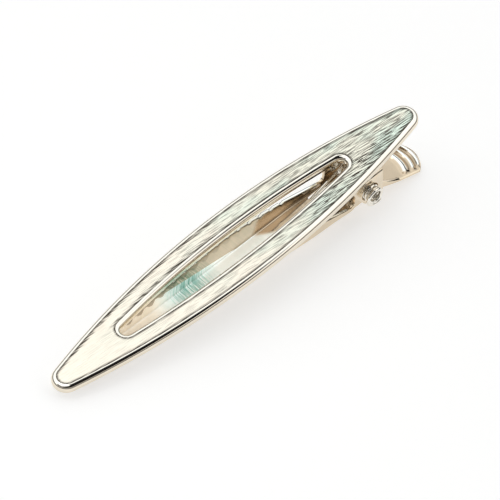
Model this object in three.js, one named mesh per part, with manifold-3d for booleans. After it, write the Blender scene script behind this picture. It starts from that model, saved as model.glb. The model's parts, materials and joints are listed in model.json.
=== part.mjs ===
// An alligator hair clip: a long almond-shaped plate with a window along its middle, a hinge
// bracket under the plate's tail, a toothed lower jaw with a ribbed finger lever, and a double
// torsion spring whose coil is also the hinge's axle. All lengths are in millimetres.
//
// The clip is drawn in a frame of its own: +X runs from the tip to the finger lever, +Z rises out
// of the plate, and the origin is the middle of the plate's top. At the end the whole clip is
// tilted so that the jaw's tip and the lever's pad both rest on Z = 0.
import * as THREE from 'three';
import { mergeVertices } from 'three/addons/utils/BufferGeometryUtils.js';
import Module from 'manifold-3d';

const wasm = await Module();
wasm.setup();

// ---- Driving dimensions ----

const SHEET = 0.55;
const PIVOT = { x: 25.7, z: -5.55 };
const HOLE_RADIUS = 1.8;

const PLATE = {
  length: 80,
  width: 13.8,
  endRadius: 2.5,
  thickness: 1.4,
  edge: 0.8,
  bow: 0.5,
  steps: 8,
};
const WINDOW = { length: 49.6, width: 5, endRadius: 1, centreX: -0.4 };

const BRACKET = { halfWidth: 4.6, top: -1.95, bend: 0.9 };
const BASE = { front: 25.1, rear: 31, halfWidth: 3.2 };
const EAR = {
  front: 21.2,
  sweep: { x: 22.3, z: -3.1 },
  shoulder: { x: 22.5, z: -4.6 },
  corner: { x: 24.3, z: -7.5 },
  bottom: -8.3,
  rear: 28.6,
  round: 1.1,
};
// The notch in the edge of each ear's hole, where an end of the spring's wire is hooked.
const NOTCH = { angle: (-60 * Math.PI) / 180, reach: 1.95, radius: 0.42 };

const JAW = {
  tip: { x: -37, z: -3.2 },
  belly: { x: 0, z: -7.7 },
  heel: { x: 22, z: -9 },
  halfWidth: 3.85,
  tipHalfWidth: 1.9,
  tipRadius: 1.5,
  taperStart: 14,
  rear: 30,
  earRadius: 2.65,
  earStart: -0.2,
  earHollow: { x: 30, z: -8 },
};
// The top edge of the jaw's rails, from the tip over two arcs to the foot of the rear ramp.
const RAIL = {
  tip: { x: -37, z: -1.98 },
  arch: { x: -18, z: -1.6 },
  knee: { x: 0, z: -1.75 },
  ramp: { x: 4, z: -2.2 },
  foot: { x: 18.4, z: -6.65 },
};
// The low stretch of the rails between the ramp's foot and the jaw's ears.
const SADDLE = { end: { x: 22, z: -7.75 }, corner: { x: 22.8, z: -7.8 }, wall: { x: 23, z: -7 } };
const TEETH = { first: 13.6, pitch: 2.5, count: 20, radius: 0.55, rise: 0.3 };
const LEG_SLOT = { front: 18.5, rear: 22.6, near: 1.25, far: 3.15 };

const LEVER = {
  neck: 29.8,
  bendX: 28.8,
  wideX: 31.5,
  wallEnd: 33.2,
  padX: 38.2,
  padZ: -12.62,
  endX: 39.8,
  halfWidth: 3.9,
  endRadius: 4.67,
};
const RIBS = { count: 3, first: 36.65, pitch: 1.35, width: 0.8, height: 0.35, radius: 5.2, halfSpan: 3.1 };

const WIRE = { radius: 0.3, sides: 6, stepsPerTurn: 14 };
const COIL = { radius: 1.3, end: 5.85, gapNear: 1.8, gapFar: 2.6, nearTurns: 12, farTurns: 5 };
const LEG = { tipX: 17.9, tipZ: -9.42, round: 1, lift: 0.33 };
const HOOK = { tip: 4.1, bend: 5.3 };

// Cutting solids run this far past the clip to each side, and this deep below it.
const PAST = 7;
const DEEP = 15;

const STEEL = { color: 0xe9dcc2, roughness: 0.22, metalness: 1 };
const BRUSHED = { color: 0xe6e3cf, roughness: 0.38, metalness: 1 };
const WIRE_FINISH = { color: 0xd9d0bd, roughness: 0.18, metalness: 1 };

// ---- Solids and meshes ----

// The closed solid that a geometry's shared vertices enclose.
function solidOf(geometry) {
  const bare = geometry.index ? geometry.toNonIndexed() : geometry.clone();
  bare.deleteAttribute('normal');
  bare.deleteAttribute('uv');
  const merged = mergeVertices(bare, 1e-4);
  const mesh = new wasm.Mesh({
    numProp: 3,
    vertProperties: new Float32Array(merged.attributes.position.array),
    triVerts: new Uint32Array(merged.index.array),
  });
  return new wasm.Manifold(mesh);
}

function geometryOf(solid) {
  const mesh = solid.getMesh();
  const geometry = new THREE.BufferGeometry();
  geometry.setAttribute('position', new THREE.BufferAttribute(mesh.vertProperties, 3));
  geometry.setIndex(new THREE.BufferAttribute(mesh.triVerts, 1));
  geometry.computeVertexNormals();
  return geometry;
}

function partMesh(name, geometry, finish) {
  const mesh = new THREE.Mesh(geometry, new THREE.MeshStandardMaterial(finish));
  mesh.name = name;
  return mesh;
}

// A prism whose outline is drawn in X and Z, wide enough to pass both sides of the clip.
function sidePrism(shape, curveSegments) {
  const geometry = new THREE.ExtrudeGeometry(shape, {
    depth: 2 * PAST,
    bevelEnabled: false,
    curveSegments,
  });
  geometry.rotateX(Math.PI / 2);
  geometry.translate(0, PAST, 0);
  return solidOf(geometry);
}

// A prism whose outline is drawn in X and Y, from below the clip up to the plate's top.
function planPrism(shape, curveSegments) {
  const geometry = new THREE.ExtrudeGeometry(shape, {
    depth: DEEP,
    bevelEnabled: false,
    curveSegments,
  });
  geometry.translate(0, 0, -DEEP);
  return solidOf(geometry);
}

function block(x0, x1, y0, y1, z0, z1) {
  const geometry = new THREE.BoxGeometry(x1 - x0, y1 - y0, z1 - z0);
  geometry.translate((x0 + x1) / 2, (y0 + y1) / 2, (z0 + z1) / 2);
  return solidOf(geometry);
}

// A round bar along Y, past both sides of the clip.
function crossBar(x, z, radius, sides) {
  const geometry = new THREE.CylinderGeometry(radius, radius, 2 * PAST, sides);
  geometry.translate(x, 0, z);
  return solidOf(geometry);
}

function pivotHole() {
  return crossBar(PIVOT.x, PIVOT.z, HOLE_RADIUS, 20);
}

// ---- Top plate ----

// An almond: two long arcs of one radius, joined at each end by a small round.
function almond(path, length, width, endRadius, centreX) {
  const endX = length / 2 - endRadius;
  const half = width / 2;
  const sideRadius = (endX ** 2 + half ** 2 - endRadius ** 2) / (2 * (half - endRadius));
  const centreY = half - sideRadius;
  const turn = Math.atan2(-centreY, endX);
  path.absarc(centreX, centreY, sideRadius, turn, Math.PI - turn, false);
  path.absarc(centreX - endX, 0, endRadius, Math.PI - turn, Math.PI + turn, false);
  path.absarc(centreX, -centreY, sideRadius, Math.PI + turn, 2 * Math.PI - turn, false);
  path.absarc(centreX + endX, 0, endRadius, -turn, turn, false);
  return path;
}

// How far the plate has dropped below its middle at x: a parabola, followed in straight steps.
function bowDrop(x) {
  const half = PLATE.length / 2;
  const step = PLATE.length / PLATE.steps;
  const index = Math.min(PLATE.steps - 1, Math.floor((x + half) / step));
  const from = index * step - half;
  const to = from + step;
  const part = (x - from) / step;
  return (PLATE.bow * ((1 - part) * from ** 2 + part * to ** 2)) / half ** 2;
}

// The corners of each triangle of a geometry.
function trianglesOf(geometry) {
  const position = geometry.toNonIndexed().attributes.position;
  const triangles = [];
  for (let i = 0; i < position.count; i += 3) {
    triangles.push([0, 1, 2].map((k) => new THREE.Vector3().fromBufferAttribute(position, i + k)));
  }
  return triangles;
}

// The point where the edge from a to b crosses the plane at x, the same from either end.
function crossing(a, b, x) {
  const [low, high] = a.x < b.x ? [a, b] : [b, a];
  return low.clone().lerp(high, (x - low.x) / (high.x - low.x)).setX(x);
}

// Cuts each triangle that crosses the plane at x in two, so that the plate can bend there.
function creasedAt(triangles, x) {
  const result = [];
  for (const corners of triangles) {
    const sides = corners.map((corner) => Math.sign(corner.x - x));
    const keeps = sides.includes(1) && sides.includes(-1) ? [-1, 1] : [0];
    for (const keep of keeps) {
      const polygon = [];
      for (let i = 0; i < 3; i += 1) {
        const next = (i + 1) % 3;
        if (keep === 0 || sides[i] !== -keep) {
          polygon.push(corners[i]);
        }
        if (keep !== 0 && sides[i] * sides[next] < 0) {
          polygon.push(crossing(corners[i], corners[next], x));
        }
      }
      for (let i = 2; i < polygon.length; i += 1) {
        result.push([polygon[0], polygon[i - 1], polygon[i]]);
      }
    }
  }
  return result;
}

// The plate has rounded upper edges, outside and around the window, and a plain underside.
function makeTopPlate() {
  const { length, width, endRadius, thickness, edge, steps } = PLATE;
  const outline = almond(new THREE.Shape(), length, width, endRadius, 0);
  const { centreX } = WINDOW;
  outline.holes.push(
    almond(new THREE.Path(), WINDOW.length, WINDOW.width, WINDOW.endRadius, centreX),
  );
  const geometry = new THREE.ExtrudeGeometry(outline, {
    depth: thickness,
    curveSegments: 18,
    bevelEnabled: true,
    bevelSegments: 3,
    bevelSize: edge,
    bevelThickness: edge,
    bevelOffset: -edge,
  });
  geometry.translate(0, 0, -thickness - edge);
  const underside = block(-length, length, -width, width, -DEEP, -thickness);
  let triangles = trianglesOf(geometryOf(solidOf(geometry).subtract(underside)));
  for (let i = 1; i < steps; i += 1) {
    triangles = creasedAt(triangles, (i * length) / steps - length / 2);
  }
  const corners = triangles.flat();
  const bowed = new THREE.BufferGeometry().setFromPoints(
    corners.map(({ x, y, z }) => new THREE.Vector3(x, y, z - bowDrop(x))),
  );
  return partMesh('top_plate', geometryOf(solidOf(bowed)), BRUSHED);
}

// ---- Hinge bracket ----

// The side view of the bracket: a narrow base on top and an ear that hangs down around the axle.
function bracketSide() {
  const underTop = BRACKET.top - SHEET;
  const { sweep, shoulder, corner, bottom, rear, round } = EAR;
  const shape = new THREE.Shape();
  shape.moveTo(BASE.rear, BRACKET.top);
  shape.lineTo(EAR.front, BRACKET.top);
  shape.lineTo(EAR.front, underTop);
  shape.quadraticCurveTo(sweep.x, sweep.z, shoulder.x, shoulder.z);
  shape.lineTo(corner.x, corner.z);
  shape.quadraticCurveTo(corner.x + round / 2, bottom, corner.x + round, bottom);
  shape.lineTo(rear - round, bottom);
  shape.quadraticCurveTo(rear, bottom, rear, bottom + round);
  shape.lineTo(rear, underTop);
  shape.lineTo(BASE.rear, underTop);
  shape.closePath();
  return shape;
}

// The end view of the bracket: a channel open downward, bent from one strip.
function bracketChannel() {
  const wide = BRACKET.halfWidth;
  const { top, bend } = BRACKET;
  const inner = bend - SHEET;
  const shape = new THREE.Shape();
  shape.moveTo(-wide, -DEEP);
  shape.lineTo(-wide + SHEET, -DEEP);
  shape.lineTo(-wide + SHEET, top - bend);
  shape.absarc(-wide + bend, top - bend, inner, Math.PI, Math.PI / 2, true);
  shape.lineTo(wide - bend, top - SHEET);
  shape.absarc(wide - bend, top - bend, inner, Math.PI / 2, 0, true);
  shape.lineTo(wide - SHEET, -DEEP);
  shape.lineTo(wide, -DEEP);
  shape.lineTo(wide, top - bend);
  shape.absarc(wide - bend, top - bend, bend, 0, Math.PI / 2, false);
  shape.lineTo(-wide + bend, top);
  shape.absarc(-wide + bend, top - bend, bend, Math.PI / 2, Math.PI, false);
  return shape;
}

function notchPoint() {
  return {
    x: PIVOT.x + NOTCH.reach * Math.cos(NOTCH.angle),
    z: PIVOT.z + NOTCH.reach * Math.sin(NOTCH.angle),
  };
}

function makeHingeBracket() {
  const channel = new THREE.ExtrudeGeometry(bracketChannel(), {
    depth: PLATE.length / 2,
    bevelEnabled: false,
    curveSegments: 5,
  });
  channel.rotateX(Math.PI / 2);
  channel.rotateZ(Math.PI / 2);
  const { front, rear, halfWidth } = BASE;
  const past = BASE.rear + 1;
  const overEars = block(0, EAR.rear, -PAST, PAST, -DEEP, 0);
  const overBase = block(0, past, -halfWidth, halfWidth, -DEEP, 0);
  const openFront = block(0, front, -halfWidth, halfWidth, -DEEP, 0);
  const notch = notchPoint();
  const bracket = solidOf(channel)
    .intersect(sidePrism(bracketSide(), 5))
    .intersect(overEars.add(overBase))
    .subtract(openFront)
    .subtract(pivotHole())
    .subtract(crossBar(notch.x, notch.z, NOTCH.radius, 10));
  return partMesh('hinge_bracket', geometryOf(bracket), STEEL);
}

// ---- Lower jaw ----

function lineTo(shape, point, lift = 0) {
  shape.lineTo(point.x, point.z + lift);
}

function curveTo(shape, control, point, lift = 0) {
  shape.quadraticCurveTo(control.x, control.z + lift, point.x, point.z + lift);
}

// The height at x of the quadratic curve that runs from a to c with control point b.
function heightOn(a, b, c, x) {
  const bend = a.x - 2 * b.x + c.x;
  const lean = b.x - a.x;
  const t = (-lean - Math.sqrt(lean ** 2 - bend * (a.x - x))) / bend;
  return (1 - t) ** 2 * a.z + 2 * t * (1 - t) * b.z + t ** 2 * c.z;
}

// The height of the toothed rail's top edge at x.
function railTop(x) {
  const { tip, arch, knee, ramp, foot } = RAIL;
  return x > knee.x ? heightOn(foot, ramp, knee, x) : heightOn(knee, arch, tip, x);
}

// The fall per millimetre of the lever, from the heel down to the pad.
function leverFall() {
  return (JAW.heel.z - LEVER.padZ) / (LEVER.padX - LEVER.bendX);
}

// The clip rests on the jaw's tip and the lever's pad, so the pad is parallel to that line.
function restTilt() {
  return Math.atan2(JAW.tip.z - LEVER.padZ, LEVER.padX - JAW.tip.x);
}

// The underside of the lever at x, on its slope or on its pad.
function leverUnder(x) {
  const { padX, padZ } = LEVER;
  return padZ - (x - padX) * (x < padX ? leverFall() : Math.tan(restTilt()));
}

// How thick the sloping lever is when it is measured straight up.
function slopeRise() {
  return SHEET * Math.hypot(1, leverFall());
}

// The side view of the jaw's outer faces: tip, belly, heel, lever, ear and toothed rail.
function jawOuterSide() {
  const { tip, belly, heel, earRadius, earStart, earHollow } = JAW;
  const { padX, endX, wallEnd, bendX } = LEVER;
  const earBack = {
    x: PIVOT.x + earRadius * Math.cos(earStart),
    z: PIVOT.z + earRadius * Math.sin(earStart),
  };
  const shape = new THREE.Shape();
  shape.moveTo(RAIL.tip.x, RAIL.tip.z);
  lineTo(shape, tip);
  curveTo(shape, belly, heel);
  shape.lineTo(bendX, heel.z);
  shape.lineTo(padX, leverUnder(padX));
  shape.lineTo(endX, leverUnder(endX));
  shape.lineTo(endX, leverUnder(endX) + SHEET);
  shape.lineTo(padX, leverUnder(padX) + slopeRise());
  shape.lineTo(wallEnd, leverUnder(wallEnd) + slopeRise());
  curveTo(shape, earHollow, earBack);
  shape.absarc(PIVOT.x, PIVOT.z, earRadius, earStart, Math.PI, false);
  lineTo(shape, SADDLE.wall);
  curveTo(shape, SADDLE.corner, SADDLE.end);
  lineTo(shape, RAIL.foot);
  curveTo(shape, RAIL.ramp, RAIL.knee);
  curveTo(shape, RAIL.arch, RAIL.tip);
  return shape;
}

// The side view of the space inside the jaw: everything above its floor and lever sheet.
function jawInnerSide() {
  const { tip, belly, heel } = JAW;
  const slopeStart = LEVER.bendX + (slopeRise() - SHEET) / leverFall();
  const end = LEVER.padX - 1;
  const shape = new THREE.Shape();
  shape.moveTo(tip.x - 1, 0);
  shape.lineTo(tip.x - 1, tip.z + SHEET);
  lineTo(shape, tip, SHEET);
  curveTo(shape, belly, heel, SHEET);
  shape.lineTo(slopeStart, heel.z + SHEET);
  shape.lineTo(end, leverUnder(end) + slopeRise());
  shape.lineTo(end, 0);
  shape.closePath();
  return shape;
}

// The jaw seen from above, drawn inset by a wall: straight sides that taper to a round tip.
function jawPlan(inset) {
  const wide = JAW.halfWidth - inset;
  const narrow = JAW.tipHalfWidth - inset;
  const tipX = JAW.tip.x + inset;
  const round = JAW.tipRadius - inset;
  const shape = new THREE.Shape();
  shape.moveTo(JAW.taperStart, -wide);
  shape.lineTo(JAW.rear, -wide);
  shape.lineTo(JAW.rear, wide);
  shape.lineTo(JAW.taperStart, wide);
  shape.lineTo(tipX + round, narrow);
  shape.quadraticCurveTo(tipX, narrow, tipX, narrow - round);
  shape.lineTo(tipX, -narrow + round);
  shape.quadraticCurveTo(tipX, -narrow, tipX + round, -narrow);
  shape.closePath();
  return shape;
}

// The lever seen from above: a strip that widens a little and ends in a round.
function leverPlan() {
  const { halfWidth, endRadius, endX, neck, wideX } = LEVER;
  const reach = Math.asin(halfWidth / endRadius);
  const shape = new THREE.Shape();
  shape.moveTo(neck, -JAW.halfWidth);
  shape.lineTo(wideX, -halfWidth);
  shape.absarc(endX - endRadius, 0, endRadius, -reach, reach, false);
  shape.lineTo(wideX, halfWidth);
  shape.lineTo(neck, JAW.halfWidth);
  shape.closePath();
  return shape;
}

// One raised rib of the lever's pad, a shallow arc whose crown reaches crownX.
function ribPlan(crownX) {
  const centreX = crownX - RIBS.radius;
  const reach = Math.asin(RIBS.halfSpan / RIBS.radius);
  const shape = new THREE.Shape();
  shape.absarc(centreX, 0, RIBS.radius, -reach, reach, false);
  shape.absarc(centreX, 0, RIBS.radius - RIBS.width, reach, -reach, true);
  shape.closePath();
  return shape;
}

// The ribs rise from within the pad's sheet and end inside the lever's outline.
function ribs() {
  const { wallEnd, padX, endX } = LEVER;
  const low = SHEET / 2;
  const high = SHEET + RIBS.height;
  const band = new THREE.Shape();
  band.moveTo(wallEnd, leverUnder(wallEnd) + low);
  band.lineTo(padX, leverUnder(padX) + low);
  band.lineTo(endX, leverUnder(endX) + low);
  band.lineTo(endX, leverUnder(endX) + high);
  band.lineTo(padX, leverUnder(padX) + high);
  band.lineTo(wallEnd, leverUnder(wallEnd) + high);
  band.closePath();
  let all = planPrism(ribPlan(RIBS.first), 8);
  for (let i = 1; i < RIBS.count; i += 1) {
    all = all.add(planPrism(ribPlan(RIBS.first + i * RIBS.pitch), 8));
  }
  return all.intersect(sidePrism(band, 1)).intersect(planPrism(leverPlan(), 12));
}

// Round valleys cut across both rails, which leave the flat-topped teeth.
function toothValleys() {
  let cuts = crossBar(TEETH.first, railTop(TEETH.first) + TEETH.rise, TEETH.radius, 8);
  for (let i = 1; i < TEETH.count; i += 1) {
    const x = TEETH.first - i * TEETH.pitch;
    cuts = cuts.add(crossBar(x, railTop(x) + TEETH.rise, TEETH.radius, 8));
  }
  return cuts;
}

function makeLowerJaw() {
  const plan = planPrism(jawPlan(0), 12).add(planPrism(leverPlan(), 12));
  const insideWidth = JAW.halfWidth - SHEET;
  const betweenWalls = block(JAW.rear - 1, LEVER.padX, -insideWidth, insideWidth, -DEEP, 0);
  const inside = sidePrism(jawInnerSide(), 16).intersect(
    planPrism(jawPlan(SHEET), 12).add(betweenWalls),
  );
  const { front, rear, near, far } = LEG_SLOT;
  const jaw = sidePrism(jawOuterSide(), 16)
    .intersect(plan)
    .subtract(inside)
    .subtract(toothValleys())
    .subtract(pivotHole())
    .subtract(block(front, rear, near, far, -DEEP, SADDLE.end.z))
    .add(ribs());
  return partMesh('lower_jaw', geometryOf(jaw), STEEL);
}

// ---- Torsion spring ----

// A point at a distance from the hinge's axis, at an angle measured from +X towards +Z.
function aroundPivot(radius, angle, y) {
  return new THREE.Vector3(
    PIVOT.x + radius * Math.cos(angle),
    y,
    PIVOT.z + radius * Math.sin(angle),
  );
}

// Half of the spring, from its side of the leg to its hooked end: it leaves the leg at the
// coil's bottom, winds its turns outward along Y, and its end bends back in through the notch.
function halfCoil(startY, turns, side) {
  const bottom = -Math.PI / 2;
  const steps = turns * WIRE.stepsPerTurn;
  const rise = (side * COIL.end - startY) / steps;
  const points = [];
  for (let i = 0; i <= steps; i += 1) {
    const angle = bottom + (2 * Math.PI * i) / WIRE.stepsPerTurn;
    points.push(aroundPivot(COIL.radius, angle, startY + i * rise));
  }
  const outward = (COIL.radius + NOTCH.reach) / 2;
  points.push(aroundPivot(outward, (bottom + NOTCH.angle) / 2, side * COIL.end));
  for (const y of [HOOK.bend, HOOK.tip]) {
    points.push(aroundPivot(NOTCH.reach, NOTCH.angle, side * y));
  }
  return points;
}

// The hairpin leg between the two halves, which reaches forward and down through the jaw's floor.
function legPoints() {
  const { tipX, tipZ, round, lift } = LEG;
  const { gapNear, gapFar } = COIL;
  const ease = (gapFar - gapNear) / 8;
  return [
    new THREE.Vector3(tipX + round, gapNear, tipZ + lift),
    new THREE.Vector3(tipX, gapNear + ease, tipZ),
    new THREE.Vector3(tipX - WIRE.radius, (gapNear + gapFar) / 2, tipZ),
    new THREE.Vector3(tipX, gapFar - ease, tipZ),
    new THREE.Vector3(tipX + round, gapFar, tipZ + lift),
  ];
}

function makeTorsionSpring() {
  const near = halfCoil(COIL.gapNear, COIL.nearTurns, -1).reverse();
  const far = halfCoil(COIL.gapFar, COIL.farTurns, 1);
  const points = [...near, ...legPoints(), ...far];
  const path = new THREE.CatmullRomCurve3(points, false, 'centripetal');
  path.arcLengthDivisions = points.length * 6;
  const section = new THREE.Shape();
  section.absarc(0, 0, WIRE.radius, 0, 2 * Math.PI, false);
  const geometry = new THREE.ExtrudeGeometry(section, {
    steps: points.length,
    curveSegments: WIRE.sides,
    bevelEnabled: false,
    extrudePath: path,
  });
  return partMesh('torsion_spring', geometryOf(solidOf(geometry)), WIRE_FINISH);
}

// ---- The clip ----

const clip = new THREE.Group();
clip.add(makeTopPlate(), makeHingeBracket(), makeLowerJaw(), makeTorsionSpring());
clip.rotation.y = -restTilt();

const group = new THREE.Group();
group.add(clip);
group.updateMatrixWorld(true);
const box = new THREE.Box3().setFromObject(group, true);
clip.position.set(-(box.min.x + box.max.x) / 2, -(box.min.y + box.max.y) / 2, -box.min.z);
group.updateMatrixWorld(true);

export default group;
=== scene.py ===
"""The looks of an alligator hair clip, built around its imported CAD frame.

Shapes are drawn in millimetres in the clip's own frame: +X runs from the tip to the finger lever,
+Z rises out of the plate, and the origin is the middle of the plate's top. Each finished mesh is
then tilted and moved into the CAD frame, in metres, by where the hinge is.
"""

import json
import math

import bmesh
import bpy
import numpy as np
from mathutils import Matrix, Vector


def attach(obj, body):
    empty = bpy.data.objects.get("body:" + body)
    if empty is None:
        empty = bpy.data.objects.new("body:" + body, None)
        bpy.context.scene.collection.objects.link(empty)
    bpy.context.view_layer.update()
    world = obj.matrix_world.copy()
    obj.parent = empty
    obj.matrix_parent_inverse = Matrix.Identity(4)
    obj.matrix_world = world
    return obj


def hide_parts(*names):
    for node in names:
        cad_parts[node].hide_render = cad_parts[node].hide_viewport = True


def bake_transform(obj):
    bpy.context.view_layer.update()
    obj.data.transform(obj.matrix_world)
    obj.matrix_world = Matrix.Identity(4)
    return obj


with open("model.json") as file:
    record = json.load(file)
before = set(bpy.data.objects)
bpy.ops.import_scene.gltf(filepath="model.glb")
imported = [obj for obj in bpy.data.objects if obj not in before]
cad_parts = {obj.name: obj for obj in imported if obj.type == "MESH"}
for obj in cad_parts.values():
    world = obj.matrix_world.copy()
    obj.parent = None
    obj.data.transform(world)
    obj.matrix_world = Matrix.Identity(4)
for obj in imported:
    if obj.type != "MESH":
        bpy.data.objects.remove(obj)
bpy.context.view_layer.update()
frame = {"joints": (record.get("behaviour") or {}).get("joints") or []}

MM = 0.001

# ---- Driving dimensions, in millimetres ----

SHEET = 0.55
PIVOT = (25.7, -5.55)
HOLE_RADIUS = 1.8

PLATE = dict(length=80.0, width=13.8, end_radius=2.5, thickness=1.4, edge=0.8, bow=0.5)
WINDOW = dict(length=49.6, width=5.0, end_radius=1.0, centre_x=-0.4)

BRACKET = dict(half_width=4.6, top=-1.95, bend=0.9)
BASE = dict(front=25.1, rear=31.0, half_width=3.2)
EAR = dict(
    front=21.2, sweep=(22.3, -3.1), shoulder=(22.5, -4.6), corner=(24.3, -7.5),
    bottom=-8.3, rear=28.6, round=1.1,
)
NOTCH = dict(angle=math.radians(-60), reach=1.95, radius=0.42)

JAW_TIP, JAW_BELLY, JAW_HEEL = (-37.0, -3.2), (0.0, -7.7), (22.0, -9.0)
JAW = dict(
    half_width=3.85, tip_half_width=1.9, tip_radius=1.5, taper_start=14.0,
    ear_radius=2.65, ear_back=(28.3, -6.08), ear_hollow=(30.0, -8.0), corner=0.9,
)
RAIL_TIP, RAIL_ARCH, RAIL_KNEE = (-37.0, -1.98), (-18.0, -1.6), (0.0, -1.75)
RAIL_RAMP, RAIL_FOOT = (4.0, -2.2), (18.4, -6.65)
SADDLE_END, SADDLE_CORNER, SADDLE_WALL = (22.0, -7.75), (22.8, -7.8), (23.0, -7.0)
TEETH = dict(first=13.6, pitch=2.5, count=20, radius=0.55, rise=0.3)
LEG_SLOT = dict(front=18.5, rear=22.6, near=1.25, far=3.15)
LEVER = dict(
    neck=29.8, bend_x=28.8, wide_x=31.5, wall_end=33.2, pad_x=38.2, pad_z=-12.62,
    end_x=39.8, half_width=3.9, end_radius=4.67,
)
# Where the jaw floor's painted reflection and glow begin and end.
PAINTED_REFLECTION_FLOOR = dict(top=-6.2, fall=0.24, least=0.12, end=11.8, slant=1.8)
RIBS = dict(crowns=((36.1, 1.15), (37.85, 0.72), (39.15, 0.62)), height=0.42, radius=5.2, half_span=2.9)

WIRE_RADIUS = 0.3
COIL = dict(radius=1.3, end=5.85, gap_near=1.8, gap_far=2.6, near_turns=12, far_turns=5)
LEG = dict(tip_x=17.9, tip_z=-9.42, round=1.0, lift=0.33)
HOOK = dict(tip=4.1, bend=5.3)

# ---- The clip's frame inside the CAD frame ----

TILT = math.atan2(
    JAW_TIP[1] - LEVER["pad_z"],
    LEVER["pad_x"] - JAW_TIP[0],
)
TURN = Matrix.Rotation(-TILT, 3, "Y")
HINGE = Vector(frame["joints"][0]["pos_m"])
ORIGIN = HINGE - TURN @ Vector((PIVOT[0], 0.0, PIVOT[1])) * MM


def to_frame(points):
    """Points of the clip's own frame, in millimetres, as points of the CAD frame, in metres."""
    return np.asarray(points, float) * MM @ np.array(TURN).T + np.array(ORIGIN)


# ---- Curves ----


def bezier_height(a, b, c, x):
    """The height at x of the quadratic curve from a to c with control point b."""
    bend = a[0] - 2 * b[0] + c[0]
    lean = b[0] - a[0]
    root = np.sqrt(np.maximum(lean**2 - bend * (a[0] - x), 0))
    t = (-lean - root) / bend if a[0] > c[0] else (-lean + root) / bend
    return (1 - t) ** 2 * a[1] + 2 * t * (1 - t) * b[1] + t**2 * c[1]


def bezier_points(a, b, c, count):
    """Points along the quadratic curve from a to c with control point b, a left out."""
    found = []
    for i in range(1, count + 1):
        t = i / count
        weights = ((1 - t) ** 2, 2 * t * (1 - t), t**2)
        found.append(tuple(weights[0] * p + weights[1] * q + weights[2] * r for p, q, r in zip(a, b, c)))
    return found


def arc_points(centre, radius, start, end, count):
    """Points along an arc, both ends included."""
    angles = np.linspace(start, end, count)
    return [(centre[0] + radius * math.cos(a), centre[1] + radius * math.sin(a)) for a in angles]


def smooth_step(value, low, high):
    t = np.clip((value - low) / (high - low), 0, 1)
    return t * t * (3 - 2 * t)


def soft_corner(x, knee, before, after, reach):
    """What is added to a line of slope before, past knee, to leave with slope after over a bend."""
    t = np.clip((x - knee + reach) / (2 * reach), 0, 1)
    past = np.maximum(x - knee - reach, 0)
    return (after - before) * (t * t * reach + past)


# ---- Meshes ----


def finish_mesh(obj, sharp_degrees=35):
    """Smooth shading with sharp edges above an angle."""
    obj.data.shade_smooth()
    obj.data.set_sharp_from_angle(angle=math.radians(sharp_degrees))
    return obj


def mesh_object(name, points, faces):
    mesh = bpy.data.meshes.new(name)
    mesh.from_pydata([tuple(p) for p in to_frame(points)], [], faces)
    mesh.validate()
    obj = bpy.data.objects.new(name, mesh)
    bpy.context.scene.collection.objects.link(obj)
    tidy = bmesh.new()
    tidy.from_mesh(mesh)
    bmesh.ops.recalc_face_normals(tidy, faces=tidy.faces)
    tidy.to_mesh(mesh)
    tidy.free()
    return obj


def ring_faces(rings, count, closed=False):
    """Quads between successive rings of count points each, in one list of vertices."""
    faces = []
    for r in range(rings if closed else rings - 1):
        here = r * count
        there = ((r + 1) % rings) * count
        for i in range(count):
            j = (i + 1) % count
            faces.append((here + i, here + j, there + j, there + i))
    return faces


def prism(name, outline, plane, low, high):
    """A prism: an outline in the plane XZ, XY or YZ, drawn out along the third axis."""
    where = {
        "XZ": lambda u, v, w: (u, w, v),
        "XY": lambda u, v, w: (u, v, w),
        "YZ": lambda u, v, w: (w, u, v),
    }[plane]
    count = len(outline)
    points = [where(u, v, low) for u, v in outline] + [where(u, v, high) for u, v in outline]
    faces = [tuple(range(count)), tuple(range(2 * count - 1, count - 1, -1))]
    faces += ring_faces(2, count)
    return mesh_object(name, points, faces)


def applied(obj):
    """obj with its modifiers turned into mesh."""
    graph = bpy.context.evaluated_depsgraph_get()
    mesh = bpy.data.meshes.new_from_object(obj.evaluated_get(graph))
    obj.modifiers.clear()
    obj.data = mesh
    return obj


def combine(obj, other, operation):
    """Cuts obj by other, or keeps what they share, and removes other."""
    cut = obj.modifiers.new("cut", "BOOLEAN")
    cut.operation = operation
    cut.solver = "EXACT"
    cut.object = other
    applied(obj)
    bpy.data.objects.remove(other)
    return obj


def soften(obj, width, degrees=40):
    """Rounds the sharp edges of obj over a width in millimetres."""
    bevel = obj.modifiers.new("edges", "BEVEL")
    bevel.width = width * MM
    bevel.segments = 2
    bevel.limit_method = "ANGLE"
    bevel.angle_limit = math.radians(degrees)
    return applied(obj)


# ---- Top plate ----


def almond(length, width, end_radius, centre_x=0.0, side=150, end=22):
    """An almond outline: two long arcs of one radius, joined at each end by a small round."""
    end_x = length / 2 - end_radius
    half = width / 2
    radius = (end_x**2 + half**2 - end_radius**2) / (2 * (half - end_radius))
    lift = radius - half
    turn = math.atan2(lift, end_x)
    points = arc_points((centre_x, -lift), radius, turn, math.pi - turn, side)[:-1]
    points += arc_points((centre_x - end_x, 0), end_radius, math.pi - turn, math.pi + turn, end)[:-1]
    points += arc_points((centre_x, lift), radius, math.pi + turn, 2 * math.pi - turn, side)[:-1]
    points += arc_points((centre_x + end_x, 0), end_radius, -turn, turn, end)[:-1]
    return np.array(points)


def plate_outline(inset):
    return almond(PLATE["length"] - 2 * inset, PLATE["width"] - 2 * inset, PLATE["end_radius"] - inset)


def window_outline(outset):
    return almond(
        WINDOW["length"] + 2 * outset,
        WINDOW["width"] + 2 * outset,
        WINDOW["end_radius"] + outset,
        WINDOW["centre_x"],
    )


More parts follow.
